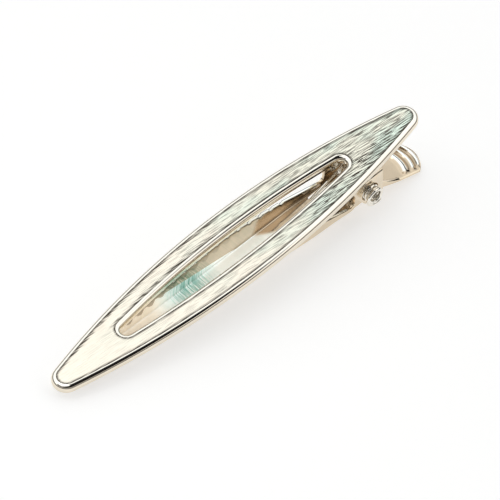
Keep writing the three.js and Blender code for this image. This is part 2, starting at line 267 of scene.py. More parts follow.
def edge_profile(steps=9):
    """(inset, height) down to up: a small burr round, a straight wall and the rounded top edge."""
    edge, thickness = PLATE["edge"], PLATE["thickness"]
    profile = [(0.14, -thickness), (0.04, 0.04 - thickness), (0.0, 0.14 - thickness)]
    for k in range(steps + 1):
        a = math.pi / 2 * k / steps
        profile.append((edge * (1 - math.cos(a)), -edge + edge * math.sin(a)))
    return profile


BORDER_INSETS = (0.86, 0.94, 1.05, 1.3)


def make_top_plate():
    """One closed ring of quads: up the outer edge, across the top, down into the window, back below."""
    loops, insets, brushed = [], [], []

    def add(outline, height, inset, top):
        loops.append(np.column_stack([outline, np.full(len(outline), height)]))
        insets.append(inset)
        brushed.append(top)

    profile = edge_profile()
    for inset, height in profile:
        add(plate_outline(inset), height, inset, False)
    brushed[-1] = True
    for inset in BORDER_INSETS:
        add(plate_outline(inset), 0.0, inset, True)
    outer, inner = plate_outline(BORDER_INSETS[-1]), window_outline(BORDER_INSETS[-1])
    across = 9
    for k in range(1, across):
        part = k / across
        add(outer * (1 - part) + inner * part, 0.0, 2.0, True)
    for outset in reversed(BORDER_INSETS):
        add(window_outline(outset), 0.0, outset, True)
    for outset, height in reversed(profile):
        add(window_outline(outset), height, outset, False)
    below_in, below_out = window_outline(profile[0][0]), plate_outline(profile[0][0])
    under = 4
    for k in range(1, under):
        part = k / under
        add(below_in * (1 - part) + below_out * part, -PLATE["thickness"], 2.0, False)
    points = np.concatenate(loops)
    points[:, 2] -= PLATE["bow"] * (points[:, 0] / (PLATE["length"] / 2)) ** 2
    count = len(loops[0])
    plate = mesh_object("top_plate_brushed", points, ring_faces(len(loops), count, closed=True))
    inset = plate.data.attributes.new("inset", "FLOAT", "POINT")
    inset.data.foreach_set("value", np.repeat(np.array(insets, np.float32), count))
    for index, polygon in enumerate(plate.data.polygons):
        polygon.material_index = 0 if brushed[index // count] else 1
    return finish_mesh(plate, 60)


# ---- Hinge bracket ----


def bracket_side():
    under = BRACKET["top"] - SHEET
    corner, bottom, rear, turn = EAR["corner"], EAR["bottom"], EAR["rear"], EAR["round"]
    points = [(BASE["rear"], BRACKET["top"]), (EAR["front"], BRACKET["top"]), (EAR["front"], under)]
    points += bezier_points(points[-1], EAR["sweep"], EAR["shoulder"], 10)
    points.append(corner)
    points += bezier_points(corner, (corner[0] + turn / 2, bottom), (corner[0] + turn, bottom), 8)
    points.append((rear - turn, bottom))
    points += bezier_points(points[-1], (rear, bottom), (rear, bottom + turn), 8)
    points += [(rear, under), (BASE["rear"], under)]
    return points


def bracket_channel(foot=-12.0, steps=9):
    wide, top, bend = BRACKET["half_width"], BRACKET["top"], BRACKET["bend"]
    inner = bend - SHEET
    centre = wide - bend
    quarter = math.pi / 2
    points = [(-wide, foot), (-wide + SHEET, foot)]
    points += arc_points((-centre, top - bend), inner, math.pi, quarter, steps)
    points += arc_points((centre, top - bend), inner, quarter, 0, steps)
    points += [(wide - SHEET, foot), (wide, foot)]
    points += arc_points((centre, top - bend), bend, 0, quarter, steps)
    points += arc_points((-centre, top - bend), bend, quarter, math.pi, steps)
    return points


def box_outline(low_u, high_u, low_v, high_v):
    return [(low_u, low_v), (high_u, low_v), (high_u, high_v), (low_u, high_v)]


def rod(name, centre, radius, half_length=8.0, sides=56):
    """A round cutting bar along Y."""
    circle = arc_points(centre, radius, 0, 2 * math.pi, sides + 1)[:-1]
    return prism(name, circle, "XZ", -half_length, half_length)


def make_hinge_bracket():
    half = BASE["half_width"]
    bracket = prism("hinge_bracket_sheet", bracket_channel(), "YZ", 20.0, 33.0)
    combine(bracket, prism("side", bracket_side(), "XZ", -6.0, 6.0), "INTERSECT")
    gap = prism("gap", box_outline(20.0, BASE["front"], -half, half), "XY", -9.0, -1.0)
    combine(bracket, gap, "DIFFERENCE")
    behind = box_outline(EAR["rear"], 34.0, half, 6.0)
    for sign in (1, -1):
        cut = [(x, sign * y) for x, y in behind]
        combine(bracket, prism("behind", cut, "XY", -9.0, -1.0), "DIFFERENCE")
    combine(bracket, rod("hole", PIVOT, HOLE_RADIUS), "DIFFERENCE")
    notch = (
        PIVOT[0] + NOTCH["reach"] * math.cos(NOTCH["angle"]),
        PIVOT[1] + NOTCH["reach"] * math.sin(NOTCH["angle"]),
    )
    combine(bracket, rod("notch", notch, NOTCH["radius"], sides=28), "DIFFERENCE")
    soften(bracket, 0.07)
    return finish_mesh(bracket, 30)


# ---- Lower jaw ----


def floor_under(x):
    """The underside of the jaw's floor and of the lever, at each x."""
    fall = (JAW_HEEL[1] - LEVER["pad_z"]) / (LEVER["pad_x"] - LEVER["bend_x"])
    belly = bezier_height(JAW_TIP, JAW_BELLY, JAW_HEEL, np.clip(x, JAW_TIP[0], JAW_HEEL[0]))
    down = soft_corner(x, LEVER["bend_x"], 0.0, -fall, 0.9)
    level = soft_corner(x, LEVER["pad_x"], -fall, -math.tan(TILT), 0.5)
    return belly + down + level


def sheet_rise(x):
    """The sheet's thickness measured straight up, at each x."""
    slope = (floor_under(x + 0.01) - floor_under(x - 0.01)) / 0.02
    return SHEET * np.sqrt(1 + slope**2)


def rail_top(x):
    """The top edge of the jaw's side walls at each x: teeth, ramp, saddle, ear and lever."""
    x = np.asarray(x, float)
    run = bezier_height(RAIL_KNEE, RAIL_ARCH, RAIL_TIP, np.clip(x, RAIL_TIP[0], RAIL_KNEE[0]))
    ramp = bezier_height(RAIL_FOOT, RAIL_RAMP, RAIL_KNEE, np.clip(x, RAIL_KNEE[0], RAIL_FOOT[0]))
    top = np.where(x < RAIL_KNEE[0], run, ramp)
    saddle = np.interp(x, [RAIL_FOOT[0], SADDLE_END[0]], [RAIL_FOOT[1], SADDLE_END[1]])
    top = np.where(x > RAIL_FOOT[0], saddle, top)
    in_corner = np.clip(x, SADDLE_END[0], SADDLE_WALL[0])
    corner = bezier_height(SADDLE_END, SADDLE_CORNER, SADDLE_WALL, in_corner)
    top = np.where(x > SADDLE_END[0], corner, top)
    ear = JAW["ear_radius"]
    front = PIVOT[0] - ear
    wall = np.interp(x, [SADDLE_WALL[0], front], [SADDLE_WALL[1], PIVOT[1]])
    top = np.where(x > SADDLE_WALL[0], wall, top)
    arch = PIVOT[1] + np.sqrt(np.maximum(ear**2 - (x - PIVOT[0]) ** 2, 0))
    top = np.where(x > front, arch, top)
    wall_end = LEVER["wall_end"]
    landing = (wall_end, float(floor_under(wall_end) + sheet_rise(wall_end)))
    in_back = np.clip(x, JAW["ear_back"][0], wall_end)
    back = bezier_height(JAW["ear_back"], JAW["ear_hollow"], landing, in_back)
    top = np.where(x > JAW["ear_back"][0], back, top)
    top = np.where(x > wall_end, floor_under(x) + sheet_rise(x), top)
    for k in range(TEETH["count"]):
        centre = TEETH["first"] - k * TEETH["pitch"]
        base = rail_smooth(centre) + TEETH["rise"]
        reach = np.maximum(TEETH["radius"] ** 2 - (x - centre) ** 2, 0)
        valley = base - np.sqrt(reach)
        top = np.where(reach > 0, np.minimum(top, valley), top)
    return np.maximum(top, floor_under(x) + sheet_rise(x))


def rail_smooth(x):
    if x > RAIL_KNEE[0]:
        return float(bezier_height(RAIL_FOOT, RAIL_RAMP, RAIL_KNEE, x))
    return float(bezier_height(RAIL_KNEE, RAIL_ARCH, RAIL_TIP, x))


def half_width(x):
    """Half of the jaw's outer width at each x."""
    x = np.asarray(x, float)
    tip_x, radius = JAW_TIP[0], JAW["tip_radius"]
    wide, narrow = JAW["half_width"], JAW["tip_half_width"]
    width = np.interp(x, [tip_x + radius, JAW["taper_start"]], [narrow, wide])
    round_tip = narrow - radius * (1 - np.sqrt(np.clip(1 - ((tip_x + radius - x) / radius) ** 2, 0, 1)))
    width = np.where(x < tip_x + radius, round_tip, width)
    lever = np.interp(x, [LEVER["neck"], LEVER["wide_x"]], [wide, LEVER["half_width"]])
    width = np.where(x > LEVER["neck"], lever, width)
    centre = LEVER["end_x"] - LEVER["end_radius"]
    end = np.sqrt(np.maximum(LEVER["end_radius"] ** 2 - (np.maximum(x, centre) - centre) ** 2, 0))
    return np.minimum(width, end)


def rib_place(x, y):
    """Where the ribs' arc through each point crosses the middle line."""
    return x + RIBS["radius"] - np.sqrt(RIBS["radius"] ** 2 - np.clip(y, -3.6, 3.6) ** 2)


def rib_height(x, y):
    """The pressed ribs of the pad: shallow arcs that fade out before the pad's sides."""
    u = rib_place(x, y)
    height = np.zeros_like(u)
    for crown, reach in RIBS["crowns"]:
        away = np.clip(np.abs(u - crown) / reach, 0, 1)
        height = np.maximum(height, 0.5 + 0.5 * np.cos(math.pi * away))
    faded = smooth_step(np.abs(y), RIBS["half_span"], RIBS["half_span"] + 0.5)
    return RIBS["height"] * height * (1 - faded)


def jaw_stations():
    """Where the jaw's cross-sections are taken: close together wherever its outline turns."""
    stations = list(np.arange(-36.0, 36.0, 0.5))
    tip = JAW_TIP[0]
    stations += [tip + JAW["tip_radius"] * (1 - math.cos(a)) for a in np.linspace(0.02, math.pi / 2, 14)]
    stations += [tip + SHEET + d for d in (-0.2, -0.1, -0.02, 0.02, 0.1, 0.3)]
    radius = TEETH["radius"]
    for k in range(TEETH["count"]):
        centre = TEETH["first"] - k * TEETH["pitch"]
        stations += [centre + radius * math.sin(a) for a in np.linspace(-1.56, 1.56, 13)]
        stations += [centre - radius - 0.02, centre + radius + 0.02]
    ear = JAW["ear_radius"]
    stations += [PIVOT[0] - ear * math.cos(a) for a in np.linspace(0, math.pi * 0.97, 34)]
    stations += list(np.linspace(SADDLE_END[0], SADDLE_WALL[0], 12)) + [23.01, 23.03]
    stations += list(np.linspace(27.9, 34.0, 40))
    stations += list(np.arange(34.2, 39.3, 0.09))
    centre, radius = LEVER["end_x"] - LEVER["end_radius"], LEVER["end_radius"]
    stations += [centre + radius * math.cos(a) for a in np.linspace(0.5, 0.02, 30)]
    found = []
    for x in sorted(stations):
        if not found or x - found[-1] > 0.008:
            found.append(x)
    return np.array(found)


FLOOR_SPANS = 24
WALL_SPANS = 5
ARC_SPANS = 12


def section_path(width, top, bottom, corner, edge):
    """Half of an open U from the wall's top edge, down and round to the middle: (y, z) points."""
    points = [(width - edge, top), (width - 0.3 * edge, top - 0.3 * edge), (width, top - edge)]
    lower = bottom + corner
    for k in range(1, WALL_SPANS + 1):
        points.append((width, top - edge + (lower - top + edge) * k / WALL_SPANS))
    for k in range(1, ARC_SPANS + 1):
        a = math.pi / 2 * k / ARC_SPANS
        points.append((width - corner * (1 - math.cos(a)), lower - corner * math.sin(a)))
    for k in range(1, FLOOR_SPANS // 2 + 1):
        points.append(((width - corner) * (1 - 2 * k / FLOOR_SPANS), bottom))
    return points


def jaw_section(x, width, top, bottom, rise):
    """One closed cross-section of the jaw: its outer side, then its inner side back."""
    edge = min(0.09, 0.2 * rise)
    smooth_top = rail_smooth(x) if x < RAIL_FOOT[0] else top
    corner = min(JAW["corner"], 0.45 * (smooth_top - bottom), 0.5 * width)
    inner_width = max(width - SHEET, 0.12 * width)
    floor = bottom + rise
    solid_tip = JAW_TIP[0] + SHEET
    if x < solid_tip:
        floor = top - 0.02
    depth = max(top - floor, 0.0)
    inner_corner = min(max(corner - SHEET, 0.35), 0.95 * inner_width, 0.97 * max(depth - edge, 0.0))
    inner_edge = min(edge, 0.45 * depth)
    inner = section_path(inner_width, top, floor, inner_corner, -inner_edge)
    inner[0] = (inner_width + inner_edge, top)
    inner[1] = (inner_width + 0.3 * inner_edge, top - 0.3 * inner_edge)
    inner[2] = (inner_width, top - inner_edge)
    for k in range(3, 3 + WALL_SPANS):
        part = (k - 2) / WALL_SPANS
        start = top - inner_edge
        inner[k] = (inner_width, start + (floor + inner_corner - start) * part)
    outer = section_path(width, top, bottom, corner, edge)
    half_loop = outer + [(-y, z) for y, z in reversed(outer[:-1])]
    inner_loop = inner + [(-y, z) for y, z in reversed(inner[:-1])]
    return half_loop + list(reversed(inner_loop)), len(half_loop)


def make_lower_jaw():
    stations = jaw_stations()
    heights = (rail_top(stations), floor_under(stations), sheet_rise(stations))
    points = []
    outer_count = 0
    for values in zip(stations, half_width(stations), *heights):
        section, outer_count = jaw_section(*values)
        points += [(values[0], y, z) for y, z in section]
    count = len(section)
    points = np.array(points)
    ribs = rib_height(points[:, 0], points[:, 1])
    index = np.arange(len(points)) % count
    on_pad = smooth_step(points[:, 0], 34.2, 34.9)
    lift = np.where(index >= outer_count, ribs, 0.55 * ribs)
    points[:, 2] += lift * on_pad
    faces = ring_faces(len(stations), count)
    last = (len(stations) - 1) * count
    faces += [tuple(range(count - 1, -1, -1)), tuple(range(last, last + count))]
    jaw = mesh_object("lower_jaw_stamping", points, faces)
    combine(jaw, rod("hole", PIVOT, HOLE_RADIUS), "DIFFERENCE")
    slot = prism(
        "slot",
        box_outline(LEG_SLOT["front"], LEG_SLOT["rear"], LEG_SLOT["near"], LEG_SLOT["far"]),
        "XY", -11.0, -8.2,
    )
    soften(slot, 0.4)
    combine(jaw, slot, "DIFFERENCE")
    mark_jaw(jaw)
    return finish_mesh(jaw, 38)


def mark_jaw(jaw):
    """Distances stored on the mesh, in mm, for its finish and its painted shade, highlights and
    reflection: how far each point lies past each border.
    """
    corners = np.empty(len(jaw.data.vertices) * 3)
    jaw.data.vertices.foreach_get("co", corners)
    x, y, z = ((corners.reshape(-1, 3) - np.array(ORIGIN)) @ np.array(TURN) / MM).T
    bottom = floor_under(x)
    marks = {
        "below_rail": np.where(x < SADDLE_END[0], rail_top(x) - z, 9.0),
        "inside": np.minimum(half_width(x) - np.abs(y), z - bottom) - 0.5 * SHEET,
        "below_wall": np.maximum(
            PAINTED_REFLECTION_FLOOR["top"] - PAINTED_REFLECTION_FLOOR["fall"] * x, bottom + SHEET + PAINTED_REFLECTION_FLOOR["least"],
        ) - z,
        "before_heel": PAINTED_REFLECTION_FLOOR["end"] - x - PAINTED_REFLECTION_FLOOR["slant"] * y,
        "along": x,
        "crest": rib_height(x, y) / RIBS["height"],
        "rib_zone": np.minimum(
            RIBS["half_span"] + 0.3 - np.abs(y), rib_place(x, y) - RIBS["crowns"][0][0] + 0.9,
        ),
    }
    for name, values in marks.items():
        made = jaw.data.attributes.new(name, "FLOAT", "POINT")
        made.data.foreach_set("value", np.asarray(values, np.float32))


# ---- Torsion spring ----


def round_pivot(radius, angle, y):
    return (PIVOT[0] + radius * math.cos(angle), y, PIVOT[1] + radius * math.sin(angle))


def spring_half(start_y, turns, side):
    """The line of half the wire: from the hairpin's bend, along its leg, round the coil, to the hook."""
    middle_y = (COIL["gap_near"] + COIL["gap_far"]) / 2
    ease = (COIL["gap_far"] - COIL["gap_near"]) / 8
    tip_x, tip_z = LEG["tip_x"], LEG["tip_z"]
    bottom = -math.pi / 2
    leg_end = np.array((tip_x + LEG["round"], start_y, tip_z + LEG["lift"]))
    coil_start = np.array(round_pivot(COIL["radius"], bottom, start_y))
    points = [
        (tip_x - WIRE_RADIUS, middle_y, tip_z),
        (tip_x - 0.8 * WIRE_RADIUS, middle_y + (start_y - middle_y) * 0.5, tip_z),
        (tip_x, start_y - math.copysign(ease, start_y - middle_y), tip_z),
    ]
    points += [tuple(leg_end * (1 - t) + coil_start * t) for t in np.linspace(0, 0.93, 9)]
    per_turn = 36
    steps = (turns - 1) * per_turn
    rise = (side * COIL["end"] - start_y) / steps
    for i in range(steps + 1):
        angle = bottom + 2 * math.pi * i / per_turn
        points.append(round_pivot(COIL["radius"], angle, start_y + i * rise))
    reach_out = 14
    for i in range(1, reach_out + 1):
        part = i / reach_out
        radius = COIL["radius"] + (NOTCH["reach"] - COIL["radius"]) * part * part
        sweep = 2 * math.pi + NOTCH["angle"] - bottom
        points.append(round_pivot(radius, bottom + sweep * part, side * COIL["end"]))
    for y in (HOOK["bend"], HOOK["tip"]):
        points.append(round_pivot(NOTCH["reach"], NOTCH["angle"], side * y))
    return smoothed(np.array(points))


def smoothed(points, between=3):
    """A Catmull-Rom curve through points, with a few steps between each two."""
    padded = np.vstack([2 * points[0] - points[1], points, 2 * points[-1] - points[-2]])
    found = []
    for i in range(len(points) - 1):
        p0, p1, p2, p3 = padded[i : i + 4]
        for k in range(between):
            t = k / between
            found.append(
                0.5 * (2 * p1 + (p2 - p0) * t + (2 * p0 - 5 * p1 + 4 * p2 - p3) * t**2
                       + (3 * p1 - p0 - 3 * p2 + p3) * t**3)
            )
    found.append(points[-1])
    return np.array(found)


def tube(name, line, radius, sides=14):
    """A round wire along a line, its frame carried along without twist, both ends domed."""
    directions = np.gradient(line, axis=0)
    directions /= np.linalg.norm(directions, axis=1)[:, None]
    side = np.cross(directions[0], (0.0, 0.0, 1.0))
    side /= np.linalg.norm(side)
    angles = np.linspace(0, 2 * math.pi, sides, endpoint=False)
    rings = []
    for place, forward in zip(line, directions):
        side = side - forward * side.dot(forward)
        side /= np.linalg.norm(side)
        up = np.cross(forward, side)
        rings.append((place, forward, side, up))
    points = []

    def add_ring(place, side, up, size):
        for a in angles:
            points.append(place + radius * size * (math.cos(a) * side + math.sin(a) * up))

    dome = ((0.45, 0.25), (0.85, 0.12))
    place, forward, side, up = rings[0]
    for size, back in dome:
        add_ring(place - forward * radius * back * 0.6, side, up, size)
    for place, forward, side, up in rings:
        add_ring(place, side, up, 1.0)
    place, forward, side, up = rings[-1]
    for size, back in reversed(dome):
        add_ring(place + forward * radius * back * 0.6, side, up, size)
    total = len(points) // sides
    faces = ring_faces(total, sides)
    faces += [tuple(range(sides - 1, -1, -1)), tuple(range((total - 1) * sides, total * sides))]
    return finish_mesh(mesh_object(name, points, faces), 50)


def make_torsion_spring():
    near_line = spring_half(COIL["gap_near"], COIL["near_turns"], -1)
    far_line = spring_half(COIL["gap_far"], COIL["far_turns"], 1)
    return (
        tube("torsion_spring_near", near_line, WIRE_RADIUS),
        tube("torsion_spring_far", far_line, WIRE_RADIUS),
    )


# ---- Materials ----


def node(tree, kind, inputs=None, **settings):
    """A shader node with its settings, and its inputs linked or set."""
    made = tree.nodes.new(kind)
    for key, value in settings.items():
        setattr(made, key, value)
    for key, value in (inputs or {}).items():
        if isinstance(value, bpy.types.NodeSocket):
            tree.links.new(value, made.inputs[key])
        else:
            made.inputs[key].default_value = value
    return made


def scaled_coordinates(tree, scale, turn=0.0):
    """Object coordinates turned about Z, then stretched by a scale per metre along each axis."""
    source = node(tree, "ShaderNodeTexCoord").outputs["Object"]
    if turn:
        turned = node(tree, "ShaderNodeMapping", {"Vector": source, "Rotation": (0, 0, turn)})
        source = turned.outputs["Vector"]
    return node(tree, "ShaderNodeMapping", {"Vector": source, "Scale": scale}).outputs["Vector"]


def noise(tree, scale, detail=2.0, roughness=0.5, turn=0.0):
    """Noise whose grains measure 1/scale metres along each axis."""
    vector = scaled_coordinates(tree, scale, turn)
    return node(
        tree, "ShaderNodeTexNoise",
        {"Vector": vector, "Scale": 1.0, "Detail": detail, "Roughness": roughness},
    ).outputs["Fac"]


def remap(tree, value, low, high, to_low, to_high):
    return node(
        tree, "ShaderNodeMapRange",
        {"Value": value, "From Min": low, "From Max": high, "To Min": to_low, "To Max": to_high},
    ).outputs["Result"]


def maths(tree, operation, a, b=0.0):
    return node(tree, "ShaderNodeMath", {0: a, 1: b}, operation=operation).outputs["Value"]


def product(tree, first, *others):
    for other in others:
        first = maths(tree, "MULTIPLY", first, other)
    return first


def attribute(tree, name):
    """A distance stored on the mesh."""
    return node(tree, "ShaderNodeAttribute", attribute_name=name).outputs["Fac"]


def mix_colour(tree, factor, a, b, blend="MIX"):
    made = node(tree, "ShaderNodeMix", data_type="RGBA", blend_type=blend)
    for socket, value in ((made.inputs[0], factor), (made.inputs[6], a), (made.inputs[7], b)):
        if isinstance(value, bpy.types.NodeSocket):
            tree.links.new(value, socket)
        else:
            socket.default_value = value
    return made.outputs[2]


def shade(tree, factor, colour):
    """A colour multiplied by a grey factor."""
    grey = node(tree, "ShaderNodeCombineColor", {"Red": factor, "Green": factor, "Blue": factor})
    return mix_colour(tree, 1.0, colour, grey.outputs["Color"], "MULTIPLY")


def metal(name, build):
    """A metal material. build(tree) gives its colour, roughness, height, bump depth and any painted
    glow.
    """
    material = bpy.data.materials.new(name)
    material.use_nodes = True
    tree = material.node_tree
    shader = tree.nodes["Principled BSDF"]
    shader.inputs["Metallic"].default_value = 1.0
    colour, roughness, height, depth, *painted_glow = build(tree)
    tree.links.new(colour, shader.inputs["Base Color"])
    tree.links.new(roughness, shader.inputs["Roughness"])
    bump = node(tree, "ShaderNodeBump", {"Height": height, "Strength": 1.0, "Distance": depth * MM})
    tree.links.new(bump.outputs["Normal"], shader.inputs["Normal"])
    if painted_glow:
        tree.links.new(colour, shader.inputs["Emission Color"])
        tree.links.new(painted_glow[0], shader.inputs["Emission Strength"])
    return material


CREAM = (0.93, 0.86, 0.75, 1.0)
PEARL = (0.93, 0.895, 0.82, 1.0)
SAND = (0.84, 0.82, 0.71, 1.0)
MINT = (0.70, 0.83, 0.74, 1.0)
UMBER = (0.06, 0.05, 0.04, 1.0)
NICKEL = (0.80, 0.68, 0.51, 1.0)
BRIGHT = (0.88, 0.84, 0.76, 1.0)
# A painted highlight white, also used for the jaw floor's painted reflection.
PAINTED_HIGHLIGHT_WHITE = (0.97, 1.0, 0.98, 1.0)
TEAL = (0.20, 0.42, 0.36, 1.0)
# A painted shade: tan for the jaw's channel and lever.
PAINTED_SHADE_TAN = (0.62, 0.51, 0.38, 1.0)
# A painted reflection: tan for the lower side of the plate's rounded edges.
PAINTED_SIDE_TAN = (0.84, 0.76, 0.63, 1.0)
# A painted shade: dark brown for the jaw's heel, the scallops below its teeth and its rib hollows.
PAINTED_SHADE_BROWN = (0.34, 0.27, 0.19, 1.0)
BRUSH_TURN = math.radians(4.6)


def brushed_finish_and_painted_lines(tree):
    """Lengthwise brushing: warm at the tip, cool and deeply scored toward the tail, with painted dark
    reflection lines near the borders.
    """
    fine = noise(tree, (300, 7200, 0), 1.0, 0.5, BRUSH_TURN)
    coarse = noise(tree, (330, 5200, 0), 1.0, 0.5, BRUSH_TURN)
    patches = noise(tree, (90, 260, 0), 2.0)
    place = node(
        tree, "ShaderNodeSeparateXYZ", {"Vector": scaled_coordinates(tree, (1 / MM, 1 / MM, 1 / MM))},
    )
    x, y = place.outputs["X"], place.outputs["Y"]
    warmth = maths(tree, "ADD", x, remap(tree, patches, 0.3, 0.7, -9, 9))
    tone = mix_colour(tree, remap(tree, warmth, -14, 14, 0, 1), CREAM, SAND)
    cool = product(tree, remap(tree, patches, 0.42, 0.6, 0, 1), remap(tree, x, -10, 24, 0.15, 0.85))
    tone = mix_colour(tree, cool, tone, MINT)
    depth = remap(tree, warmth, -34, 30, 0.08, 0.85)
    tone = mix_colour(tree, product(tree, remap(tree, fine, 0.54, 0.57, 0, 1), depth), tone, UMBER)
    near_tail = product(tree, remap(tree, x, 4, 22, 0, 1.3), remap(tree, y, 0.5, -2.5, 0.2, 1))
    strength = maths(tree, "ADD", near_tail, remap(tree, x, -20, 26, 0.03, 0.22))
    tone = mix_colour(tree, product(tree, remap(tree, coarse, 0.55, 0.58, 0, 1), strength), tone, UMBER)
    # Painted dark reflection: a dark line along the border between the brushing and the rounded edges.
    inset = attribute(tree, "inset")
    border_dark_line = product(
        tree, remap(tree, inset, 0.95, 1.3, 1.0, 0.0), remap(tree, coarse, 0.36, 0.50, 0.5, 1.0),
    )
    tone = mix_colour(tree, border_dark_line, tone, UMBER)
    # Painted dark reflection: dark streaks by the far side's borders, toward the tip.
    far_side = product(tree, remap(tree, y, 1.0, 2.5, 0, 1), remap(tree, x, 8, -4, 0, 1))
    dark_streak_band = product(tree, remap(tree, inset, 1.1, 2.0, 1, 0), remap(tree, coarse, 0.48, 0.56, 0, 1))
    colour = mix_colour(tree, product(tree, far_side, dark_streak_band), tone, UMBER)
    roughness = remap(tree, fine, 0.3, 0.7, 0.24, 0.40)
    height = maths(tree, "SUBTRACT", product(tree, coarse, -0.8), fine)
    return colour, roughness, height, 0.012


def polished_finish(tint, rough, depth):
    """Polished plating: almost a mirror, with soft waves and hair scratches."""

    def build(tree):
        waves = noise(tree, (260, 260, 260), 2.0)
        hair = noise(tree, (900, 900, 900), 3.0, 0.7)
        stain_and_painted_shade = remap(tree, waves, 0.35, 0.65, 0.95, 1.02)
        tone = mix_colour(tree, remap(tree, hair, 0.35, 0.7, 0, 0.3), tint, BRIGHT)
        colour = shade(tree, stain_and_painted_shade, tone)
        roughness = remap(tree, hair, 0.3, 0.7, rough * 0.7, rough * 1.3)
        height = maths(tree, "ADD", waves, product(tree, hair, 0.15))
        return colour, roughness, height, depth

    return build


def stamped_finish_and_painted_light(tree):
    """The jaw's plating with painted light: walls in a painted tan shade with painted shade below the
    teeth, and a pale floor in a painted reflection with fine lines across it.
    """
    lines = noise(tree, (5200, 300, 300), 3.0, 0.65)
    waves = noise(tree, (240, 240, 240), 2.0)
    blotch_noise = noise(tree, (700, 700, 500), 2.0)
    normal = node(tree, "ShaderNodeNewGeometry").outputs["Normal"]
    up = node(tree, "ShaderNodeSeparateXYZ", {"Vector": normal}).outputs["Z"]
    along, below_rail = attribute(tree, "along"), attribute(tree, "below_rail")
    depth_in, crest = attribute(tree, "inside"), attribute(tree, "crest")

    # The sheet itself: warm outside, a painted tan shade inside the channel and on the lever.
    inside = remap(tree, depth_in, -0.05, 0.05, 0, 1)
    shaded = remap(tree, waves, 0.35, 0.65, 0.94, 1.03)
    colour = mix_colour(tree, inside, shade(tree, shaded, NICKEL), shade(tree, shaded, PAINTED_SHADE_TAN))

    # The channel's floor, a glowing painted reflection: cream at the tip, then teal lines, then a pale
    # mint as far as the heel.
    painted_reflection_mask = product(
        tree,
        remap(tree, attribute(tree, "below_wall"), -0.06, 0.06, 0, 1),
        remap(tree, attribute(tree, "before_heel"), -1.0, 0.4, 0, 1),
        inside,
    )
    teal = product(
        tree, remap(tree, along, -15, -9, 0, 1), remap(tree, along, -2, -8, 0, 1),
        remap(tree, lines, 0.40, 0.56, 0.25, 1),
    )
    mint = product(tree, remap(tree, along, -13, -8, 0, 1), remap(tree, lines, 0.42, 0.58, 0.1, 1), 0.3)
    ground = mix_colour(tree, remap(tree, along, -12, -17, 0, 1), PAINTED_HIGHLIGHT_WHITE, CREAM)
    ground = mix_colour(tree, mint, ground, MINT)
    colour = mix_colour(tree, painted_reflection_mask, colour, mix_colour(tree, teal, ground, TEAL))

    # Painted shade over the heel's lines, where the plate shades the floor, then painted shade below the
    # teeth.
    heel = product(
        tree, remap(tree, along, 12.5, 16.5, 0, 1), remap(tree, along, 22, 20, 0, 1),
        inside, remap(tree, lines, 0.4, 0.6, 0.3, 0.8),
    )
    colour = mix_colour(tree, heel, colour, PAINTED_SHADE_BROWN)
    # Painted shade: a dark line just below the rails' tops.
    scallop = product(
        tree, remap(tree, below_rail, 0.5, 0.12, 0, 1), remap(tree, blotch_noise, 0.42, 0.55, 0.35, 1), inside,
    )
    colour = mix_colour(tree, scallop, colour, UMBER)
    # Painted shade of the teeth: brown scallops below the rails, toward the tip.
    swing = maths(tree, "SINE", product(tree, along, 2 * math.pi / TEETH["pitch"]))
    reach = maths(tree, "SUBTRACT", below_rail, product(tree, swing, 0.4))
    stain_and_painted_shade = product(
        tree, remap(tree, reach, 1.35, 0.95, 0, 0.85), remap(tree, along, 5, -8, 0, 1), inside,
    )
    colour = mix_colour(tree, stain_and_painted_shade, colour, PAINTED_SHADE_BROWN)

    # The rails' cut tops, where they face up, in a painted highlight, with a painted shade line along
    # their outer side.
    cut = product(tree, remap(tree, up, 0.55, 0.8, 0, 1), remap(tree, below_rail, 0.2, 0.1, 0, 1))
    colour = mix_colour(tree, cut, colour, PAINTED_HIGHLIGHT_WHITE)
    gap_shade_line = product(tree, cut, remap(tree, depth_in, -0.12, -0.18, 0, 1))
    colour = mix_colour(tree, gap_shade_line, colour, UMBER)

    # The pressed ribs: painted highlights on the crests and painted shade in the hollows.
    zone = product(tree, remap(tree, attribute(tree, "rib_zone"), 0, 0.5, 0, 1), inside)
    colour = mix_colour(tree, product(tree, zone, remap(tree, crest, 0.35, 0.05, 0, 0.75)), colour, PAINTED_SHADE_BROWN)
    colour = mix_colour(tree, product(tree, zone, remap(tree, crest, 0.5, 0.9, 0, 1)), colour, PAINTED_HIGHLIGHT_WHITE)

    roughness = maths(tree, "ADD", remap(tree, lines, 0.3, 0.7, 0.08, 0.14), product(tree, painted_reflection_mask, 0.3))
    height = maths(tree, "ADD", product(tree, lines, painted_reflection_mask), product(tree, waves, 0.3))
    # Painted glow: the floor's painted reflection gives off a little light of its own.
    painted_glow = product(tree, painted_reflection_mask, remap(tree, along, -18, -9, 0.17, 0.34))
    return colour, roughness, height, 0.004, painted_glow


def edge_finish_and_painted_reflection(tree):
    """The plate's polished edges: bright at the top of the rounding, a painted tan reflection down its
    side.
    """
    waves = noise(tree, (260, 260, 260), 2.0)
    hair = noise(tree, (900, 900, 900), 3.0, 0.7)
    # Painted reflection: tan down the side of the rounding.
    side = remap(tree, attribute(tree, "inset"), 0.22, 0.32, 1, 0)
    colour = mix_colour(tree, side, PEARL, PAINTED_SIDE_TAN)
    colour = shade(tree, remap(tree, waves, 0.35, 0.65, 0.96, 1.02), colour)
    roughness = remap(tree, hair, 0.3, 0.7, 0.04, 0.08)
    height = maths(tree, "ADD", waves, product(tree, hair, 0.15))
    return colour, roughness, height, 0.002


